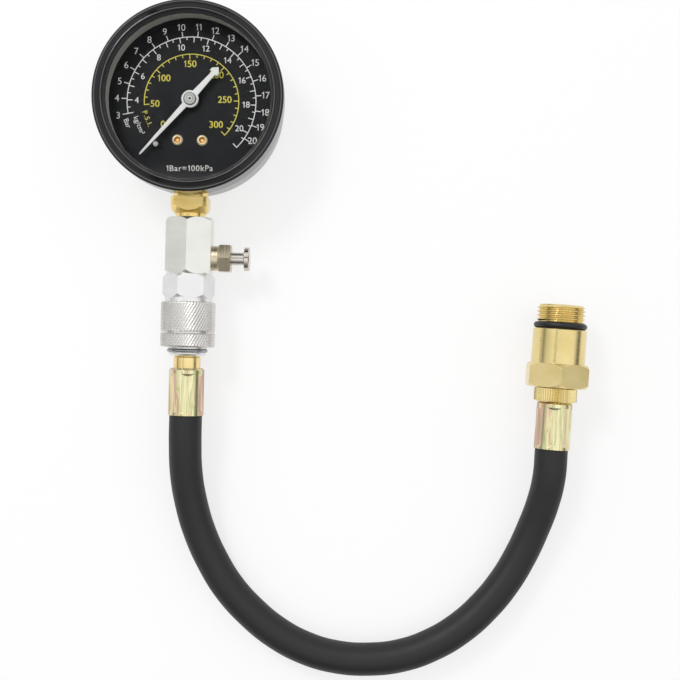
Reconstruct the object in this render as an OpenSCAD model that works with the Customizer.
// Engine compression tester: dial gauge, release valve, quick coupler, hose and spark plug end.
// It lies on its back. Origin: centre of the case back. +Z leaves the dial, the stem runs along -Y.

/* [Gauge head] */
// Outside diameter of the drawn steel case
case_d = 67.6; // [64:0.2:80]
// Sheet thickness of the case
case_wall = 1.0; // [0.6:0.1:1.4]
// Radius of the rounded edge at the back of the case
case_edge_r = 2.0; // [1.6:0.1:3]
// Radial thickness of the bezel's skirt
bezel_wall = 1.3; // [0.8:0.1:2]
// Width of the bezel's face, from the outside to the lip
bezel_face = 4.9; // [4.4:0.1:6]
// Height of the bezel's crest above the lens
bezel_crest = 2.6; // [2.2:0.1:4.5]
// Thickness of the lens
lens_t = 2.0; // [1:0.1:3]
// Height of the pale ring between dial and lens
spacer_h = 5.8; // [3.6:0.1:8]
// Wall of the pale ring
spacer_wall = 1.9; // [1.2:0.1:2.5]

/* [Dial and pointer] */
// Thickness of the dial plate
dial_t = 0.6; // [0.4:0.1:1]
// Length of the pointer from its hub to its tip
pointer_len = 27.9; // [22:0.1:29]
// Length of the pointer's tail
pointer_tail = 15.8; // [13:0.1:18]
// Diameter of the pointer's hub
hub_d = 6.3; // [5.4:0.1:8]
// Diameter of the cap on the hub
cap_d = 4.7; // [3:0.1:5.2]
// Thickness of the pointer's blade
pointer_t = 0.5; // [0.3:0.1:0.8]
// Direction of the pointer at rest, counted from +X
pointer_a = 229; // [220:1:232]
// Distance of the stop pin from the dial's centre
stop_r = 21.0; // [16:0.5:24]
// Diameter of the stop pin
stop_d = 1.9; // [1:0.1:2.2]
// Half the distance between the two dial rivets
rivet_x = 4.6; // [4:0.05:5]
// Distance of the dial rivets below the centre
rivet_y = 14.9; // [14.8:0.1:16]
// Head diameter of a dial rivet
rivet_head_d = 4.0; // [3.2:0.1:4.2]

/* [Movement] */
// Gear module of pinion and sector
gear_m = 0.3; // [0.28:0.01:0.31]
// Teeth on the pinion
pinion_teeth = 14; // [12:1:16]
// Teeth that the sector would have as a full wheel
sector_teeth = 112; // [104:2:116]
// Thickness of the sector
sector_t = 1.0; // [0.6:0.1:1.1]
// Thickness of the two movement plates
plate_t = 1.0; // [0.8:0.1:1.2]
// Clear space between the movement plates
plate_gap = 4.0; // [4:0.1:5]
// Radius of the Bourdon tube's centreline
tube_r = 26.0; // [25.5:0.1:27.5]
// Width of the tube's section along the dial axis
tube_w = 8.0; // [6:0.25:8.5]
// Thickness of the tube's section
tube_t = 3.0; // [2.4:0.1:3.2]
// Wall of the tube
tube_wall = 0.4; // [0.25:0.05:0.6]

/* [Stem and adapter] */
// Height of the stem axis above the case back
stem_z = 12.0; // [11.5:0.1:14]
// Side of the square wrench block on the stem
block_w = 13.6; // [13.4:0.1:15]
// Length of the square block
block_len = 6.0; // [4:0.1:9]
// Diameter of the stem's round neck in the case wall
neck_d = 13.2; // [12:0.1:13.3]
// Diameter of the neck below the block
relief_d = 11.0; // [9.8:0.1:12]
// Length of the neck below the block
relief_len = 1.7; // [1:0.1:4]
// Outside diameter of the stem's screwed end
stub_d = 9.6; // [9:0.1:10]
// Length of the stem's screwed end
stub_len = 10.0; // [7:0.5:12]
// Distance across the flats of the adapter and the coupler
hex_af = 17.0; // [16:0.1:19]
// Length of the adapter's hexagon
adapter_len = 21.2; // [20:0.1:28]
// Bore of the air passage
passage_d = 4.0; // [2.5:0.1:4.4]

/* [Release valve] */
// Distance of the valve's axis above the adapter's lower end
valve_up = 6.3; // [4.6:0.1:7]
// Diameter of the round collar
valve_collar_d = 9.4; // [9:0.1:11]
// Length of the round collar
valve_collar_len = 2.4; // [1.5:0.1:4]
// Distance across the flats of the valve's hexagon
valve_af = 10.0; // [9:0.1:12]
// Length of the valve's hexagon
valve_hex_len = 4.9; // [4:0.1:7]
// Diameter of the push rod
rod_d = 4.8; // [3.8:0.1:5.4]
// Visible length of the push rod at rest
rod_out = 5.0; // [3.5:0.1:8]
// Diameter of the button
button_d = 9.0; // [7:0.1:11]
// Thickness of the button
button_t = 2.05; // [1.2:0.05:3]
// Travel of the button
press_travel = 2.5; // [1:0.1:2.6]

/* [Quick coupler] */
// Length of the coupler's hexagon
coupler_hex_len = 9.0; // [8.3:0.1:14]
// Outside diameter of the sliding sleeve
sleeve_d = 20.6; // [20:0.1:23]
// Length of the sliding sleeve
sleeve_len = 17.0; // [15.5:0.1:20]
// Travel of the sleeve towards the hexagon
sleeve_travel = 1.5; // [1:0.1:1.8]
// Diameter of the collar that guides the sleeve
guide_d = 17.8; // [17.4:0.1:18]
// Diameter of the barrel under the sleeve
barrel_d = 14.0; // [13.6:0.1:14.4]
// Wire diameter of the snap ring
snap_wire = 1.3; // [1:0.1:1.5]
// Diameter of a locking ball
ball_d = 3.0; // [2.8:0.1:3.1]
// Number of locking balls
ball_count = 6; // [4:1:8]
// Diameter of the plug in the coupler
plug_d = 9.8; // [9.4:0.1:9.9]
// Diameter of the plug's neck outside the coupler
plug_neck_d = 10.2; // [9.9:0.1:11]
// Length of the plug's neck
plug_neck_len = 4.5; // [3:0.1:8]

/* [Hose] */
// Outside diameter of the hose
hose_d = 12.4; // [12:0.1:12.8]
// Diameter of the hose inside a crimped ferrule
crimp_d = 10.8; // [10:0.1:11]
// Length of a ferrule
ferrule_len = 17.8; // [15:0.1:22]
// Outside diameter of a ferrule
ferrule_d = 13.3; // [13:0.1:14]
// Distance across the crimped flats of a ferrule
ferrule_af = 12.3; // [12:0.1:13]
// Diameter of the hose tails
barb_d = 6.4; // [5:0.1:7]

/* [Spark plug end] */
// Diameter of the knurled collar
knurl_d = 16.0; // [14.5:0.1:18]
// Length of the knurled collar
knurl_len = 5.6; // [4:0.1:8]
// Ribs round the knurled collar
knurl_ribs = 54; // [36:2:60]
// Distance across the flats of the thread adapter
end_af = 22.0; // [20.6:0.1:23.5]
// Length of the thread adapter's hexagon
end_hex_len = 8.9; // [7:0.1:12]
// Diameter of the plain body
end_body_d = 20.1; // [19.6:0.1:20.4]
// Length of the plain body
end_body_len = 13.1; // [10:0.1:20]
// Outside diameter of the spark plug thread
thread_d = 18.0; // [16:0.1:19]
// Length of the spark plug thread
thread_len = 6.5; // [5:0.1:16]
// Section diameter of the sealing ring
ring_section = 2.4; // [1.6:0.1:2.8]
// Diameter of the screwed stub on the hose end
end_stub_d = 13.8; // [12:0.1:14]

/* [Fits] */
// Radial clearance of parts that slide or turn
run_fit = 0.05; // [0.02:0.01:0.08]
// Radial clearance of parts that are screwed or pressed together
seat_fit = 0.03; // [0.01:0.01:0.05]
// Gap between parts that pass each other
pass_gap = 0.3; // [0.2:0.05:0.4]

/* [Hidden] */
$fn = 96;
eps = 0.01;
over = 1;

// Levels above the case back
case_r = case_d / 2;
case_in_r = case_r - case_wall;
plate_drop = 3;
back_plate_z = stem_z - plate_drop;
front_plate_z = back_plate_z + plate_t + plate_gap;
front_plate_top = front_plate_z + plate_t;
post_h = 2.9;
dial_z = front_plate_top + post_h;
dial_top = dial_z + dial_t;
lens_z = dial_top + spacer_h;
lens_top = lens_z + lens_t;
rim_gap = 0.2;
case_h = lens_z - rim_gap;
bezel_top = lens_top + bezel_crest;
skirt_z = stem_z + block_w / 2 + pass_gap;

// Radii of the gauge head
bezel_in_r = case_r + seat_fit;
bezel_r = bezel_in_r + bezel_wall;
lip_r = bezel_r - bezel_face;
lens_r = bezel_in_r - pass_gap;
dial_r = case_in_r - pass_gap;
spacer_r = dial_r;
shoulder_r = 0.9;
crest_r = 0.6;
crest_in = 1.5;
ridge_drop = 0.4;
valley_drop = 0.8;
lip_t = 0.8;
least_edge_r = 0.2;

// Pointer and arbor levels
pointer_lift = 2.1;
pointer_z = dial_top + pointer_lift;
pointer_top = pointer_z + pointer_t;
boss_drop = 0.7;
cap_h = 0.7;
cap_edge = 0.2;
dimple_r = 0.5;
dimple_depth = 0.2;
arbor_r = 0.8;
pivot_r = 0.6;
blade_hub_w = 2.2;
blade_tip_w = 0.6;
tail_hub_w = 2.6;
tail_w = 1.6;
tail_head = 2.4;
stop_over = 0.4;

// Gear geometry
pressure_a = 20;
backlash = 0.9;
addendum = 0.8;
dedendum = 1.15;
pinion_r = gear_m * pinion_teeth / 2;
sector_r = gear_m * sector_teeth / 2;
centre_dist = pinion_r + sector_r;
sector_pitch_a = 360 / sector_teeth;
pivot_a = -32;
pivot = centre_dist * [cos(pivot_a), sin(pivot_a)];
mesh_a = pivot_a + 180;
first_tooth = -13;
last_tooth = 1;
sector_lift = 1.4;
sector_z = back_plate_z + plate_t + sector_lift;
sector_hub_r = 2.2;
sector_rim = 2.2;
spoke_teeth = 4;
web_teeth = 2;
tail_half_w = 1.0;
tail_eye_r = 1.4;
pinion_over = 0.2;
tail_len = 5.0;
tail_a = -75;
tail_pin = pivot + tail_len * [cos(tail_a), sin(tail_a)];
link_lift = 0.1;
link_z = sector_z + sector_t + link_lift;
link_t = 0.6;
link_w = 1.6;
link_eye_r = 1.2;
link_open_eye_r = 1.6;
link_pin_r = 0.5;
link_pin_over = 0.2;
link_open_gap = 0.3;

// Bourdon tube
tube_drop = 3.5;
tube_z = stem_z - tube_drop;
tube_root_a = 262;
tube_root_seat_a = 25;
tube_port_r = 1.05;
tube_tip_a = -12;
tip_cap_a = 4;
lug_in = 4.0;
lug_drop = 5.0;
lug_pin = [tube_r - lug_in, -lug_drop];
lug_r = 1.4;

// Movement frame
pillar_r = 1.5;
pillar_spots = [[-7, 6], [16.5, 4], [-8, -7.5]];
plate_edge = 2.4;
screw_r = 0.8;
screw_head_r = 1.5;
screw_head_h = 0.9;
screw_grip = 2.0;
spring_in_r = 1.3;
spring_pitch = 0.55;
spring_turns = 5;
spring_t = 0.16;
spring_h = 0.5;
spring_drop = 1.0;
spring_z = front_plate_z - spring_drop;
stud_r = 0.5;

// Socket inside the case
socket_over = 2.0;
socket_top_y = -(rivet_y - socket_over);
socket_bottom_d = case_in_r - case_edge_r;
neck_in_r = dial_z - stem_z - pass_gap;
rivet_r = 1.2;
rivet_shoulder_r = rivet_head_d / 2;
rivet_head_h = 0.5;
rivet_rim = 0.2;
rivet_cup_r = 1.25;
rivet_cup_taper = 0.3;
rivet_cup_depth = 0.8;
rivet_depth = 6;
case_screw_r = 1.5;
case_screw_head_r = 2.5;
case_screw_len = 6;
case_screw_in = 4.1;
case_screw_up = 3.3;
case_screw_y = [socket_top_y - case_screw_in, -socket_bottom_d + case_screw_up];
tap_extra = 0.5;
slot_w = 0.7;
slot_depth = 0.4;

// Distances down the stem, from the dial axis
neck_out = 1.8;
neck_end = case_r + neck_out;
block_end = neck_end + block_len;
adapter_top = block_end + relief_len;
adapter_end = adapter_top + adapter_len;
stub_end = adapter_top + stub_len;
coupler_end = adapter_end + coupler_hex_len;
guide_len = 3.0;
sleeve_top = coupler_end + sleeve_travel;
sleeve_end = sleeve_top + sleeve_len;
boss_len = 0.7;
ring_top = sleeve_end + boss_len;
ring_end = ring_top + snap_wire;
nose_out = 1.3;
nose_end = ring_end + nose_out;
swivel_gap = 0.2;
plug_shoulder = nose_end + swivel_gap;
ferrule_top = plug_shoulder + plug_neck_len;
mouth = ferrule_top + ferrule_len;
bottom_chamfer = 2.6;
block_edge = 1.0;
hex_chamfer = 1.1;
hex_chamfer_len = 1.4;
adapter_chamfer = 1.25;
adapter_chamfer_len = 1.3;
coupler_turn = -12;
male_len = 8.0;
male_room = 0.2;
stem_bore_r = 1.5;

// Release valve, distances along +X from the stem axis
flank = hex_af / 2;
valve_d = adapter_end - valve_up;
valve_seat = 3.5;
port_r = 3.1;
port_end = -5.0;
valve_hex_x = flank + valve_collar_len;
valve_end = valve_hex_x + valve_hex_len;
rod_end = valve_end + rod_out;
rod_seat = 1.0;
rod_start = flank + press_travel + rod_seat;
valve_chamfer = 0.9;
button_edge = 0.4;
vent_r = 1.3;
stem_r = 0.9;
seal_t = 0.8;
poppet_t = 2.0;
poppet_r = 2.4;
release_wire = 0.5;
release_coil_r = 1.9;
release_coils = 4;

// Quick coupler
guide_r = guide_d / 2;
barrel_r = barrel_d / 2;
plug_r = plug_d / 2;
sleeve_r = sleeve_d / 2;
sleeve_in_r = guide_r + run_fit;
land_r = barrel_r + run_fit;
land_len = 4.6;
relief_groove_len = 1.4;
relief_groove_depth = 1.1;
lip_len = 0.7;
relief_end = sleeve_end - lip_len;
relief_start = relief_end - relief_groove_len;
land_start = relief_start - land_len;
ball_r = ball_d / 2;
ball_back = 0.8;
ball_at = relief_start - ball_back;
ball_centre_r = land_r - run_fit - ball_r;
ball_groove_r = ball_centre_r - ball_r - run_fit;
ball_groove_half = ball_r + pass_gap;
boss_wall = 0.35;
boss_r = barrel_r + boss_wall;
sleeve_chamfer = 0.5;
sleeve_groove_at = 5.6;
sleeve_groove_w = 1.2;
sleeve_groove_depth = 0.35;
nose_chamfer = 0.8;
coil_wire = 0.9;
coil_turns = 5;
nose_r = 4.0;
plug_edge = 0.5;
plug_in = 6.1;
plug_start = coupler_end + plug_in;
plug_land = 0.7;
nose_stop = ball_at - ball_groove_half - plug_land;
plug_room = 1.0;
socket_end = plug_start - plug_room;
oring_r = 0.9;
oring_in = 3.6;
oring_at = plug_start + oring_in;
plug_bore_r = 1.6;

// Ferrules and hose tails
ferrule_r = ferrule_d / 2;
ferrule_in_r = crimp_d / 2 + run_fit;
ferrule_wall = 1.1;
ferrule_collar = 2.0;
ferrule_lip = 1.0;
swage_len = 0.9;
ferrule_chamfer = 0.7;
ferrule_turn = -11;
barb_r = barb_d / 2;
barb_gap = 2.0;
barb_taper = 0.5;
barb_taper_len = 1.0;

// Spark plug end: mouth of its ferrule, heading and distances from that mouth
end_mouth = [138.83, -127.2, 12];
end_turn = 2.8;
collar_start = ferrule_len;
end_hex_start = collar_start + knurl_len;
end_body_start = end_hex_start + end_hex_len;
ring_groove_start = end_body_start + end_body_len;
ring_room = 0.2;
ring_groove_len = ring_section + ring_room;
thread_start = ring_groove_start + ring_groove_len;
thread_end = thread_start + thread_len;
ring_sink = 0.1;
ring_groove_r = end_body_d / 2 - ring_section - ring_sink;
end_hex_turn = -3.5;
end_stub_len = 10;
end_stub_room = 2;
end_shoulder = end_hex_start + end_stub_len + end_stub_room;
end_bore_r = 4.0;
knurl_depth = 0.4;
knurl_edge = 0.4;
end_hex_chamfer = 1.6;
end_hex_chamfer_len = 1.4;
body_edge = 0.3;
thread_chamfer = 1.0;
core_r = 3.5;
core_in = 1;
core_start = end_hex_start + core_in;
core_len = 8.5;
core_floor = 1.0;
core_roof = 2.5;
core_room_r = 2.2;
pin_r = 0.6;
pin_flange_r = 1.8;
pin_flange_t = 0.6;
pin_out = 1.4;
pin_edge = 0.2;
pin_wire = 0.4;
pin_coil_r = 1.3;
pin_coils = 5;

// Route of the hose between the two ferrules' mouths
hose_sides = 12;
hose_route = [
    [0, -128, 11.6], [0.5, -140, 10], [2.5, -152, 8], [6, -163.5, 6.6],
    [11, -174, 6.2], [17.5, -184, 6.2], [26, -193, 6.2], [36, -200.8, 6.2], [47, -206.4, 6.2],
    [59, -209.6, 6.2], [72, -210.2, 6.2], [84.5, -208.4, 6.2], [96, -204, 6.2], [106.5, -197.4, 6.2],
    [115.5, -189, 6.2], [123, -179.5, 6.2], [129, -169, 6.3], [133.4, -158.5, 7.2],
    [136.6, -148, 9.4], [138.3, -138, 11.5]
];

// Helpers
function polar(r, a) = r * [cos(a), sin(a)];
function arc(centre, r, from, to, steps = 8) =
    [for (i = [0:steps]) centre + polar(r, from + (to - from) * i / steps)];
function involute_a(a) = tan(a) * 180 / PI - a;
function half_tooth_a(teeth, r) =
    let (base = gear_m * teeth / 2 * cos(pressure_a))
    90 / teeth * backlash + involute_a(pressure_a) - involute_a(r > base ? acos(base / r) : 0);
function flank_radii(teeth) =
    let (pitch = gear_m * teeth / 2, root = pitch - dedendum * gear_m, tip = pitch + addendum * gear_m)
    [root, max((root + pitch) / 2, pitch * cos(pressure_a)), pitch, tip];
function tooth(teeth, a) = concat(
    [for (r = flank_radii(teeth)) polar(r, a - half_tooth_a(teeth, r))],
    [for (i = [len(flank_radii(teeth)) - 1:-1:0])
        let (r = flank_radii(teeth)[i]) polar(r, a + half_tooth_a(teeth, r))]);
function tooth_row(teeth, first, last) =
    [for (k = [first:last]) each tooth(teeth, k * 360 / teeth)];
function unit(v) = v / norm(v);
function ring(centre, along, r, sides) =
    let (u = unit(cross(along, abs(along[2]) > 0.9 ? [1, 0, 0] : [0, 0, 1])), v = cross(u, along))
    [for (i = [0:sides - 1]) centre + r * (cos(360 * i / sides) * u + sin(360 * i / sides) * v)];
function heading(path, i) =
    unit(path[min(i + 1, len(path) - 1)] - path[max(i - 1, 0)]);

module tube_mesh(rings, sides) {
    count = len(rings);
    quads = [for (k = [0:count - 2], i = [0:sides - 1])
        let (j = (i + 1) % sides)
        [k * sides + i, (k + 1) * sides + i, (k + 1) * sides + j, k * sides + j]];
    caps = [[for (i = [0:sides - 1]) i], [for (i = [sides - 1:-1:0]) (count - 1) * sides + i]];
    polyhedron([for (r = rings) each r], concat(quads, caps));
}

// Wire coil about +Z with its ends inside the given length
module coil(mean_r, wire, turns, length) {
    steps = 12;
    sides = 6;
    rise = (length - wire) / turns;
    path = [for (i = [0:turns * steps])
        [mean_r * cos(360 * i / steps), mean_r * sin(360 * i / steps), wire / 2 + rise * i / steps]];
    tube_mesh([for (i = [0:len(path) - 1]) ring(path[i], heading(path, i), wire / 2, sides)], sides);
}

module turned(profile) rotate_extrude() polygon(profile);
module hex_bar(af, from, to, turn = 0)
    translate([0, 0, from]) rotate(turn) cylinder(h = to - from, r = af / 2 / cos(30), $fn = 6);
module drill(r, from, to) translate([0, 0, from]) cylinder(h = to - from, r = r);
module pipe(outer, inner, from, to)
    difference() {
        drill(outer, from, to);
        drill(inner, from - over, to + over);
    }

// Frames of the three turned groups: local +Z is the axis of each
module on_stem() translate([0, 0, stem_z]) rotate([90, 0, 0]) children();
module on_valve() translate([0, -valve_d, stem_z]) rotate([0, 90, 0]) children();
module on_end() translate(end_mouth) rotate([0, 0, -end_turn]) rotate([-90, 0, 0]) children();

// Gauge head
module case_shell() {
    inner_edge = max(case_edge_r - case_wall, least_edge_r);
    turned(concat(
        [[0, 0]],
        arc([case_r - case_edge_r, case_edge_r], case_edge_r, -90, 0),
        [[case_r, case_h], [case_in_r, case_h]],
        arc([case_in_r - inner_edge, case_wall + inner_edge], inner_edge, 0, -90),
        [[0, case_wall]]));
}

module case() color("lightslategray")
    difference() {
        case_shell();
        slot_r = neck_d / 2 + pass_gap;
        on_stem() drill(slot_r, case_in_r - case_edge_r, case_r + over);
        translate([-slot_r, -case_r - over, stem_z])
            cube([2 * slot_r, case_edge_r + case_wall + over, case_h]);
        for (y = case_screw_y) translate([0, y, 0])
            turned([[0, -eps], [case_screw_head_r + seat_fit, -eps], [case_screw_head_r + seat_fit, 0],
                [case_screw_r + seat_fit, case_wall], [case_screw_r + seat_fit, 2 * case_wall],
                [0, 2 * case_wall]]);
    }

module bezel() color("black")
    turned(concat(
        [[bezel_in_r, skirt_z], [bezel_r, skirt_z]],
        arc([bezel_r - shoulder_r, bezel_top - ridge_drop - shoulder_r], shoulder_r, 0, 90),
        [[bezel_r - shoulder_r - ridge_drop * 2, bezel_top - valley_drop]],
        arc([lip_r + crest_in, bezel_top - crest_r], crest_r, 40, 130),
        [[lip_r, lens_top + lip_t], [lip_r, lens_top], [bezel_in_r, lens_top]]));

module lens() color("azure", 0.3) drill(lens_r, lens_z, lens_top);

module spacer_ring() color("darkgray") pipe(spacer_r, spacer_r - spacer_wall, dial_top, lens_z);

module dial() color("dimgray")
    difference() {
        drill(dial_r, dial_z, dial_top);
        drill(arbor_r + pass_gap, dial_z - over, dial_top + over);
        for (s = [-1, 1]) translate([s * rivet_x, -rivet_y])
            drill(rivet_r + seat_fit, dial_z - over, dial_top + over);
        translate(stop_spot()) drill(stop_d / 2 + seat_fit, dial_z - over, dial_top + over);
    }

// Two tubular rivets hold the front plate on the socket and the dial on their shoulders
module dial_rivets() color("darkgoldenrod")
    for (s = [-1, 1]) translate([s * rivet_x, -rivet_y])
        turned([[0, front_plate_z - rivet_depth], [rivet_r, front_plate_z - rivet_depth],
            [rivet_r, front_plate_top], [rivet_shoulder_r, front_plate_top], [rivet_shoulder_r, dial_z],
            [rivet_r, dial_z], [rivet_r, dial_top], [rivet_head_d / 2, dial_top],
            [rivet_cup_r + rivet_rim, dial_top + rivet_head_h], [rivet_cup_r, dial_top + rivet_head_h],
            [rivet_cup_r - rivet_cup_taper, dial_top + rivet_head_h - rivet_cup_depth],
            [0, dial_top + rivet_head_h - rivet_cup_depth]]);

// The pin stands beside the blade, on the side that the pointer falls back to
function stop_spot() =
    let (half_blade = (blade_hub_w + blade_tip_w) / 4)
    polar(stop_r, pointer_a + asin((half_blade + stop_d / 2 + pass_gap) / stop_r));

module stop_pin() color("silver") translate(stop_spot())
    drill(stop_d / 2, dial_z, pointer_top + stop_over);

module pointer() color("white")
    difference() {
        rotate(pointer_a) {
            translate([0, 0, pointer_z]) linear_extrude(pointer_t) {
                polygon([[0, -blade_hub_w / 2], [pointer_len - blade_tip_w, -blade_tip_w / 2],
                    [pointer_len, 0], [pointer_len - blade_tip_w, blade_tip_w / 2], [0, blade_hub_w / 2]]);
                head = tail_head / sqrt(2);
                neck = pointer_tail - tail_head / 2 - head;
                polygon([[0, -tail_hub_w / 2], [-neck, -tail_w / 2], [-neck, -head],
                    [-pointer_tail + head, -head], [-pointer_tail, 0], [-pointer_tail + head, head],
                    [-neck, head], [-neck, tail_w / 2], [0, tail_hub_w / 2]]);
            }
            drill(hub_d / 2, pointer_z - boss_drop, pointer_top);
        }
        drill(arbor_r + seat_fit, pointer_z - boss_drop - over, pointer_top + over);
    }

module pointer_cap() color("gray")
    turned([[0, pointer_top], [cap_d / 2, pointer_top], [cap_d / 2, pointer_top + cap_h - cap_edge],
        [cap_d / 2 - cap_edge, pointer_top + cap_h], [dimple_r, pointer_top + cap_h],
        [dimple_r - dimple_depth, pointer_top + cap_h - dimple_depth],
        [0, pointer_top + cap_h - dimple_depth]]);

// Brass socket: carries tube and movement, and leaves the case as the stem
module socket() color("goldenrod")
    difference() {
        union() {
            translate([-block_w / 2, -socket_bottom_d, case_wall])
                cube([block_w, socket_bottom_d + socket_top_y, front_plate_z - case_wall]);
            on_stem() {
                drill(neck_in_r, socket_bottom_d - over, neck_end);
                drill(neck_d / 2, case_in_r, neck_end + eps);
                intersection() {
                    translate([-block_w / 2, -block_w / 2, neck_end]) cube([block_w, block_w, block_len]);
                    corner = block_w / sqrt(2) - block_edge;
                    turned([[0, neck_end], [corner, neck_end], [corner, block_end - bottom_chamfer],
                        [corner - bottom_chamfer, block_end], [0, block_end]]);
                }
                drill(relief_d / 2, block_end - eps, adapter_top);
                drill(stub_d / 2, adapter_top - eps, stub_end);
            }
        }
        on_stem() drill(stem_bore_r, tube_r - stem_bore_r, stub_end + over);
        translate([-block_w / 4 - over, -tube_r, stem_z - stem_bore_r]) rotate([0, 90, 0])
            drill(tube_port_r, 0, block_w / 4 + over);
        tube_arc(tube_root_a, tube_root_a - tube_root_seat_a, seat_fit);
        for (s = [-1, 1]) translate([s * rivet_x, -rivet_y])
            drill(rivet_r + seat_fit, front_plate_z - rivet_depth - tap_extra, front_plate_z + over);
        for (y = case_screw_y) translate([0, y, 0])
            drill(case_screw_r + seat_fit, 0, case_screw_len + tap_extra);
    }

module case_screws() color("gray")
    for (y = case_screw_y) translate([0, y, 0])
        difference() {
            turned([[0, 0], [case_screw_head_r, 0], [case_screw_r, case_wall], [case_screw_r, case_screw_len],
                [0, case_screw_len]]);
            translate([-case_screw_head_r, -slot_w / 2, -over])
                cube([2 * case_screw_head_r, slot_w, over + slot_depth]);
        }

// Bourdon tube and the linkage to the sector
module flat_oval(w, t) {
    square([t, w - t], center = true);
    for (s = [-1, 1]) translate([0, s * (w - t) / 2]) circle(d = t);
}

module tube_arc(from, to, grow = 0)
    translate([0, 0, tube_z]) rotate(to) rotate_extrude(angle = from - to)
        translate([tube_r, 0]) flat_oval(tube_w + 2 * grow, tube_t + 2 * grow);

module bourdon_tube() color("peru")
    difference() {
        tube_arc(tube_root_a, tube_tip_a);
        tube_arc(tube_root_a + over, tube_tip_a - over, -tube_wall);
    }

// End cap of the tube, with the lug and the pin that pull the link
module tube_tip() color("goldenrod") {
    tube_arc(tube_tip_a, tube_tip_a - tip_cap_a);
    arm_a = tube_tip_a - tip_cap_a / 2;
    lug_top = sector_z + sector_t;
    translate([0, 0, lug_top - sector_t]) linear_extrude(sector_t) {
        translate(lug_pin) circle(lug_r);
        polygon([lug_pin + polar(lug_r, arm_a + 90), polar(tube_r, tube_tip_a),
            polar(tube_r, tube_tip_a - tip_cap_a), lug_pin + polar(lug_r, arm_a - 90)]);
    }
    translate(lug_pin) drill(link_pin_r, lug_top - eps, link_z + link_t + link_pin_over);
}

module link() color("darkkhaki")
    translate([0, 0, link_z]) linear_extrude(link_t)
        difference() {
            union() {
                side = link_w / 2 * unit([tail_pin[1] - lug_pin[1], lug_pin[0] - tail_pin[0]]);
                polygon([lug_pin + side, tail_pin + side, tail_pin - side, lug_pin - side]);
                translate(lug_pin) circle(link_eye_r);
                translate(tail_pin) circle(link_open_eye_r);
            }
            translate(lug_pin) circle(link_pin_r + run_fit);
            translate(tail_pin) circle(link_pin_r + link_open_gap);
        }

module sector_outline() {
    low_a = first_tooth * sector_pitch_a;
    high_a = last_tooth * sector_pitch_a;
    rim_in = sector_r - dedendum * gear_m - sector_rim;
    local_tail_a = tail_a - mesh_a;
    tip = polar(tail_len, local_tail_a);
    side = polar(tail_half_w, local_tail_a + 90);
    difference() {
        polygon(concat(tooth_row(sector_teeth, first_tooth, last_tooth), [[0, 0]]));
        spoke_a = spoke_teeth * sector_pitch_a;
        web_a = web_teeth * sector_pitch_a;
        polygon(concat(arc([0, 0], 2 * sector_hub_r, low_a + spoke_a, high_a - spoke_a),
            arc([0, 0], rim_in, high_a - web_a, low_a + web_a)));
    }
    circle(sector_hub_r);
    polygon([side, tip + side, tip - side, -side]);
    translate(tip) circle(tail_eye_r);
}

module sector_gear() color("gold")
    translate(pivot) rotate(mesh_a) {
        translate([0, 0, sector_z]) linear_extrude(sector_t) sector_outline();
        drill(pivot_r, back_plate_z, front_plate_top);
        translate(polar(tail_len, tail_a - mesh_a))
            drill(link_pin_r, sector_z + sector_t - eps, link_z + link_t + link_pin_over);
    }

module pinion_arbor() color("silver") {
    translate([0, 0, sector_z - pinion_over]) rotate(pivot_a + 180 / pinion_teeth)
        linear_extrude(sector_t + 2 * pinion_over) polygon(tooth_row(pinion_teeth, 0, pinion_teeth - 1));
    drill(arbor_r, back_plate_z, pointer_top);
    pipe(spring_in_r - spring_t, arbor_r - eps, spring_z, spring_z + spring_h);
}

function spiral(offset, a) = polar(spring_in_r + spring_pitch * a / 360 + offset, a);

module hairspring() color("orange")
    translate([0, 0, spring_z]) linear_extrude(spring_h) {
        steps = 20;
        path = [for (i = [0:spring_turns * steps]) 360 * i / steps];
        outer = [for (a = path) spiral(spring_t / 2, a)];
        inner = [for (i = [len(path) - 1:-1:0]) spiral(-spring_t / 2, path[i])];
        polygon(concat(outer, inner));
    }

// Movement frame
module plate_outline(spots)
    hull() for (s = spots) translate(s) circle(plate_edge, $fn = 32);

module plate_holes(from, to) {
    drill(arbor_r + run_fit, from, to);
    translate(pivot) drill(pivot_r + run_fit, from, to);
}

module back_plate() color("khaki")
    difference() {
        translate([0, 0, back_plate_z]) linear_extrude(plate_t) plate_outline(concat(pillar_spots, [pivot]));
        plate_holes(back_plate_z - over, front_plate_z);
        for (s = pillar_spots) translate(s) drill(screw_r + seat_fit, back_plate_z - over, front_plate_z);
    }

module front_plate() color("khaki") {
    feet = [[-rivet_x, -rivet_y], [rivet_x, -rivet_y]];
    difference() {
        translate([0, 0, front_plate_z]) linear_extrude(plate_t)
            plate_outline(concat(pillar_spots, [pivot], feet));
        plate_holes(front_plate_z - over, front_plate_top + over);
        for (s = feet) translate(s) drill(rivet_r + seat_fit, front_plate_z - over, front_plate_top + over);
    }
    stud_spot = [spring_in_r + spring_pitch * spring_turns + spring_t / 2 + stud_r, 0];
    translate(stud_spot) drill(stud_r, spring_z, front_plate_z + eps);
}

module pillars() color("goldenrod")
    for (s = pillar_spots) translate(s)
        difference() {
            drill(pillar_r, back_plate_z + plate_t, front_plate_z);
            drill(screw_r + seat_fit, back_plate_z, back_plate_z + plate_t + screw_grip + tap_extra);
        }

module movement_screws() color("silver")
    for (s = pillar_spots) translate(s)
        difference() {
            turned([[0, back_plate_z - screw_head_h], [screw_head_r, back_plate_z - screw_head_h],
                [screw_head_r, back_plate_z], [screw_r, back_plate_z],
                [screw_r, back_plate_z + plate_t + screw_grip], [0, back_plate_z + plate_t + screw_grip]]);
            translate([-screw_head_r - over, -slot_w / 2, back_plate_z - screw_head_h - over])
                cube([2 * (screw_head_r + over), slot_w, over + slot_depth]);
        }

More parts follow.
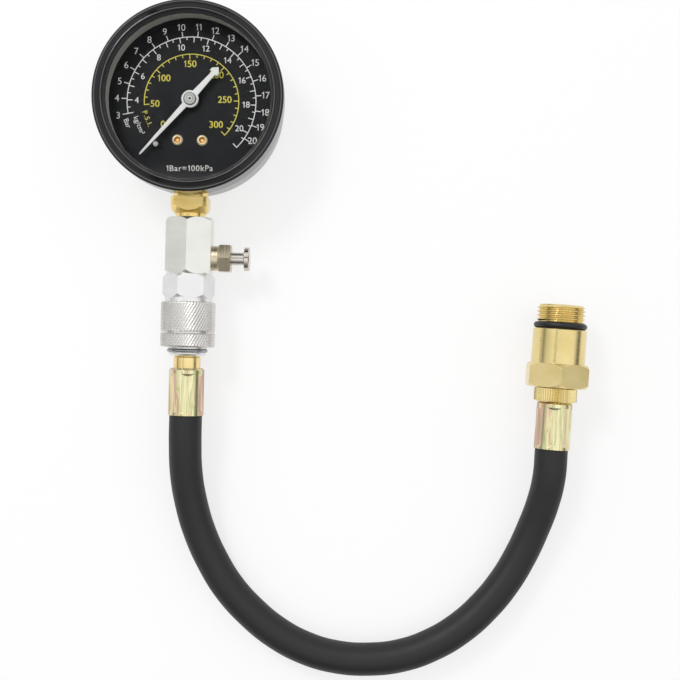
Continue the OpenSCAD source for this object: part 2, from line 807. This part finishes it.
// Adapter with the release valve's port in its +X flank
module adapter_body() color("gainsboro")
    difference() {
        on_stem() {
            intersection() {
                hex_bar(hex_af, adapter_top, adapter_end, 30);
                corner = hex_af / 2 / cos(30);
                turned([[0, adapter_top], [corner - adapter_chamfer, adapter_top],
                    [corner, adapter_top + adapter_chamfer_len], [corner, adapter_end - adapter_chamfer_len],
                    [corner - adapter_chamfer, adapter_end], [0, adapter_end]]);
            }
            drill(stub_d / 2, adapter_end - eps, adapter_end + male_len);
        }
        on_stem() {
            drill(stub_d / 2 + seat_fit, adapter_top - over, stub_end);
            drill(passage_d / 2, stub_end - over, adapter_end + male_len + over);
        }
        on_valve() drill(port_r, port_end, flank + over);
    }

module valve_housing() color("rosybrown") on_valve()
    difference() {
        union() {
            drill(port_r - seat_fit, valve_seat, flank + eps);
            drill(valve_collar_d / 2, flank, valve_hex_x + eps);
            intersection() {
                hex_bar(valve_af, valve_hex_x, valve_end, 0);
                corner = valve_af / 2 / cos(30);
                turned([[0, valve_hex_x], [valve_collar_d / 2, valve_hex_x],
                    [corner, valve_hex_x + valve_chamfer], [corner, valve_end - valve_chamfer / 2],
                    [corner - valve_chamfer / 2, valve_end], [0, valve_end]]);
            }
        }
        drill(vent_r, valve_seat - over, flank + over);
        drill(rod_d / 2 + run_fit, rod_start - press_travel - pass_gap, valve_end + over);
    }

module release_pin() color("silver") on_valve() {
    seal_start = valve_seat - run_fit - seal_t;
    turned([[0, seal_start - poppet_t], [poppet_r, seal_start - poppet_t], [poppet_r, seal_start],
        [stem_r, seal_start], [stem_r, rod_start], [rod_d / 2, rod_start], [rod_d / 2, rod_end],
        [button_d / 2 - button_edge / 2, rod_end], [button_d / 2, rod_end + button_edge / 2],
        [button_d / 2, rod_end + button_t - button_edge], [button_d / 2 - button_edge, rod_end + button_t],
        [0, rod_end + button_t]]);
}

module release_seal() color("black") on_valve()
    pipe(poppet_r, stem_r + seat_fit, valve_seat - run_fit - seal_t, valve_seat - run_fit);

module release_spring() color("silver") on_valve() {
    poppet_start = valve_seat - run_fit - seal_t - poppet_t;
    translate([0, 0, port_end]) coil(release_coil_r, release_wire, release_coils, poppet_start - port_end);
}

// Quick coupler: body, sliding sleeve and what holds the plug
module coupler_body() color("gainsboro") on_stem()
    difference() {
        union() {
            intersection() {
                hex_bar(hex_af, adapter_end, coupler_end, coupler_turn);
                corner = hex_af / 2 / cos(30);
                turned([[0, adapter_end], [corner - hex_chamfer, adapter_end],
                    [corner, adapter_end + hex_chamfer_len], [corner, coupler_end - hex_chamfer_len],
                    [corner - hex_chamfer, coupler_end], [0, coupler_end]]);
            }
            drill(guide_r, coupler_end - eps, coupler_end + guide_len);
            ring_seat_r = barrel_r - snap_wire / 2;
            turned([[0, coupler_end], [barrel_r, coupler_end], [barrel_r, ring_top - run_fit],
                [ring_seat_r, ring_top - run_fit], [ring_seat_r, ring_end + run_fit],
                [barrel_r, ring_end + run_fit], [barrel_r, nose_end - nose_chamfer],
                [barrel_r - nose_chamfer, nose_end], [0, nose_end]]);
        }
        drill(stub_d / 2 + seat_fit, adapter_end - over, adapter_end + male_len + male_room);
        drill(passage_d / 2, adapter_end, nose_end);
        drill(plug_r + run_fit, socket_end, nose_end + over);
        drill(nose_r + run_fit + 2 * oring_r, oring_at - oring_r - run_fit, oring_at + oring_r + run_fit);
        for (i = [0:ball_count - 1]) translate([0, 0, ball_at]) rotate([0, 0, 360 * i / ball_count])
            rotate([0, 90, 0]) drill(ball_r + run_fit, 0, barrel_r + over);
    }

module coupler_sleeve() color("lightgray") on_stem()
    turned([[sleeve_in_r, sleeve_top], [sleeve_r - sleeve_chamfer, sleeve_top],
        [sleeve_r, sleeve_top + sleeve_chamfer],
        [sleeve_r, sleeve_end - sleeve_groove_at - sleeve_groove_w / 2],
        [sleeve_r - sleeve_groove_depth, sleeve_end - sleeve_groove_at - sleeve_groove_w / 4],
        [sleeve_r - sleeve_groove_depth, sleeve_end - sleeve_groove_at + sleeve_groove_w / 4],
        [sleeve_r, sleeve_end - sleeve_groove_at + sleeve_groove_w / 2],
        [sleeve_r, sleeve_end - sleeve_chamfer], [sleeve_r - sleeve_chamfer, sleeve_end],
        [boss_r, sleeve_end], [boss_r, ring_top - run_fit], [land_r, ring_top - run_fit],
        [land_r, relief_end], [land_r + relief_groove_depth, relief_end],
        [land_r + relief_groove_depth, relief_start], [land_r, relief_start],
        [land_r, land_start], [sleeve_in_r, land_start]]);

module sleeve_spring() color("silver") on_stem()
    translate([0, 0, coupler_end + guide_len])
        coil((barrel_r + guide_r) / 2, coil_wire, coil_turns, land_start - coupler_end - guide_len);

module snap_ring() color("dimgray") on_stem()
    translate([0, 0, (ring_top + ring_end) / 2])
        rotate_extrude() translate([barrel_r + run_fit, 0]) circle(d = snap_wire);

module lock_balls() color("silver") on_stem()
    for (i = [0:ball_count - 1]) translate([0, 0, ball_at]) rotate(360 * i / ball_count)
        translate([ball_centre_r, 0]) sphere(r = ball_r);

module coupler_seal() color("black") on_stem()
    translate([0, 0, oring_at])
        rotate_extrude() translate([nose_r + run_fit + oring_r, 0]) circle(r = oring_r);

module hose_plug() color("goldenrod") on_stem()
    difference() {
        turned([[0, plug_start], [nose_r - plug_edge, plug_start], [nose_r, plug_start + plug_edge],
            [nose_r, nose_stop], [plug_r, nose_stop + plug_edge], [plug_r, ball_at - ball_groove_half],
            [ball_groove_r, ball_at - ball_groove_half + plug_edge],
            [ball_groove_r, ball_at + ball_groove_half - plug_edge], [plug_r, ball_at + ball_groove_half],
            [plug_r, plug_shoulder], [plug_neck_d / 2 - plug_edge, plug_shoulder],
            [plug_neck_d / 2, plug_shoulder + plug_edge], [plug_neck_d / 2, ferrule_top],
            [barb_r, ferrule_top], [barb_r, mouth - barb_gap - barb_taper_len],
            [barb_r - barb_taper, mouth - barb_gap], [0, mouth - barb_gap]]);
        drill(plug_bore_r, plug_start - over, mouth);
    }

// Crimped ferrule about +Z: closed collar at zero, mouth at its full length
module ferrule()
    difference() {
        union() {
            turned([[0, 0], [ferrule_r - ferrule_chamfer, 0], [ferrule_r, ferrule_chamfer],
                [ferrule_r, ferrule_collar], [ferrule_af / 2, ferrule_collar + swage_len],
                [0, ferrule_collar + swage_len]]);
            intersection() {
                hex_bar(ferrule_af, ferrule_collar - eps, ferrule_len - ferrule_lip + eps, ferrule_turn);
                drill(ferrule_r, 0, ferrule_len);
            }
            lip_start = ferrule_len - ferrule_lip;
            turned([[0, lip_start - swage_len], [ferrule_af / 2, lip_start - swage_len],
                [ferrule_r, lip_start], [ferrule_r, ferrule_len], [0, ferrule_len]]);
        }
        drill(barb_r + seat_fit, -over, ferrule_wall + over);
        drill(ferrule_in_r, ferrule_wall, ferrule_len + over);
    }

module near_ferrule() color("palegoldenrod") on_stem() translate([0, 0, ferrule_top]) ferrule();

module far_ferrule() color("palegoldenrod") on_end()
    translate([0, 0, ferrule_len]) mirror([0, 0, 1]) ferrule();

// Hose: crimped tails inside both ferrules and the free run between their mouths
module hose() color("#2b2b2c") {
    out = [0, -1, 0];
    home = [sin(end_turn), cos(end_turn), 0];
    near = [0, -mouth, stem_z];
    tail = ferrule_len - ferrule_wall - run_fit;
    free = concat([near], hose_route, [end_mouth]);
    last = len(free) - 1;
    free_rings = [for (i = [0:last])
        ring(free[i], i == 0 ? out : i == last ? home : heading(free, i), hose_d / 2, hose_sides)];
    near_rings = [for (at = [near - tail * out, near]) ring(at, out, crimp_d / 2, hose_sides)];
    far_rings = [for (at = [end_mouth, end_mouth + tail * home]) ring(at, home, crimp_d / 2, hose_sides)];
    difference() {
        tube_mesh(concat(near_rings, free_rings, far_rings), hose_sides);
        on_stem() drill(barb_r + seat_fit, ferrule_top, mouth - barb_gap + seat_fit);
        on_end() drill(barb_r + seat_fit, barb_gap - seat_fit, ferrule_len);
    }
}

// Spark plug end
module knurl_outline()
    polygon([for (i = [0:2 * knurl_ribs - 1])
        polar(knurl_d / 2 - (i % 2) * knurl_depth, 180 * i / knurl_ribs)]);

module hose_end() color("khaki") on_end()
    difference() {
        union() {
            rim_r = knurl_d / 2 - knurl_depth - knurl_edge;
            turned([[0, barb_gap], [barb_r - barb_taper, barb_gap], [barb_r, barb_gap + barb_taper_len],
                [barb_r, collar_start], [rim_r - knurl_edge, collar_start],
                [rim_r, collar_start + knurl_edge], [rim_r, end_hex_start - knurl_edge],
                [rim_r - knurl_edge, end_hex_start], [end_stub_d / 2, end_hex_start],
                [end_stub_d / 2, end_hex_start + end_stub_len], [0, end_hex_start + end_stub_len]]);
            translate([0, 0, collar_start + knurl_edge])
                linear_extrude(knurl_len - 2 * knurl_edge) knurl_outline();
        }
        drill(plug_bore_r, 0, end_hex_start + end_stub_len);
        drill(core_r + seat_fit, core_start, end_hex_start + end_stub_len + over);
    }

module thread_adapter() color("khaki") on_end()
    difference() {
        union() {
            intersection() {
                hex_bar(end_af, end_hex_start, end_body_start, 30 + end_hex_turn);
                corner = end_af / 2 / cos(30);
                turned([[0, end_hex_start], [corner - end_hex_chamfer, end_hex_start],
                    [corner, end_hex_start + end_hex_chamfer_len],
                    [corner, end_body_start - end_hex_chamfer_len],
                    [corner - end_hex_chamfer, end_body_start], [0, end_body_start]]);
            }
            turned([[0, end_body_start - eps], [end_body_d / 2, end_body_start - eps],
                [end_body_d / 2, ring_groove_start - body_edge],
                [end_body_d / 2 - body_edge, ring_groove_start], [ring_groove_r, ring_groove_start],
                [ring_groove_r, thread_start], [thread_d / 2, thread_start],
                [thread_d / 2, thread_end - thread_chamfer], [thread_d / 2 - thread_chamfer, thread_end],
                [0, thread_end]]);
        }
        drill(end_stub_d / 2 + seat_fit, end_hex_start - over, end_shoulder);
        drill(end_bore_r, end_shoulder - over, thread_end + over);
    }

module seal_ring() color("black") on_end()
    translate([0, 0, ring_groove_start + ring_groove_len / 2])
        rotate_extrude() translate([ring_groove_r + seat_fit + ring_section / 2, 0]) circle(d = ring_section);

// Check valve core: sleeve, sprung pin and its spring
module valve_core_body() color("goldenrod") on_end()
    difference() {
        drill(core_r, core_start, core_start + core_len);
        drill(core_room_r, core_start + core_floor, core_start + core_len - core_roof);
        drill(pin_r + run_fit, core_start - over, core_start + core_len + over);
    }

module valve_pin() color("silver") on_end() {
    roof = core_start + core_len - core_roof - run_fit;
    tip = core_start + core_len + pin_out;
    turned([[0, core_start], [pin_r, core_start], [pin_r, roof - pin_flange_t],
        [pin_flange_r, roof - pin_flange_t], [pin_flange_r, roof], [pin_r, roof], [pin_r, tip - pin_edge],
        [pin_r - pin_edge, tip], [0, tip]]);
}

module valve_spring() color("silver") on_end()
    translate([0, 0, core_start + core_floor])
        coil(pin_coil_r, pin_wire, pin_coils, core_len - core_roof - run_fit - pin_flange_t - core_floor);

case();
bezel();
lens();
spacer_ring();
dial();
dial_rivets();
stop_pin();
pointer();
pointer_cap();
socket();
case_screws();
bourdon_tube();
tube_tip();
link();
sector_gear();
pinion_arbor();
hairspring();
back_plate();
front_plate();
pillars();
movement_screws();
adapter_body();
valve_housing();
release_pin();
release_seal();
release_spring();
coupler_body();
coupler_sleeve();
sleeve_spring();
snap_ring();
lock_balls();
coupler_seal();
hose_plug();
near_ferrule();
hose();
far_ferrule();
hose_end();
thread_adapter();
seal_ring();
valve_core_body();
valve_pin();
valve_spring();
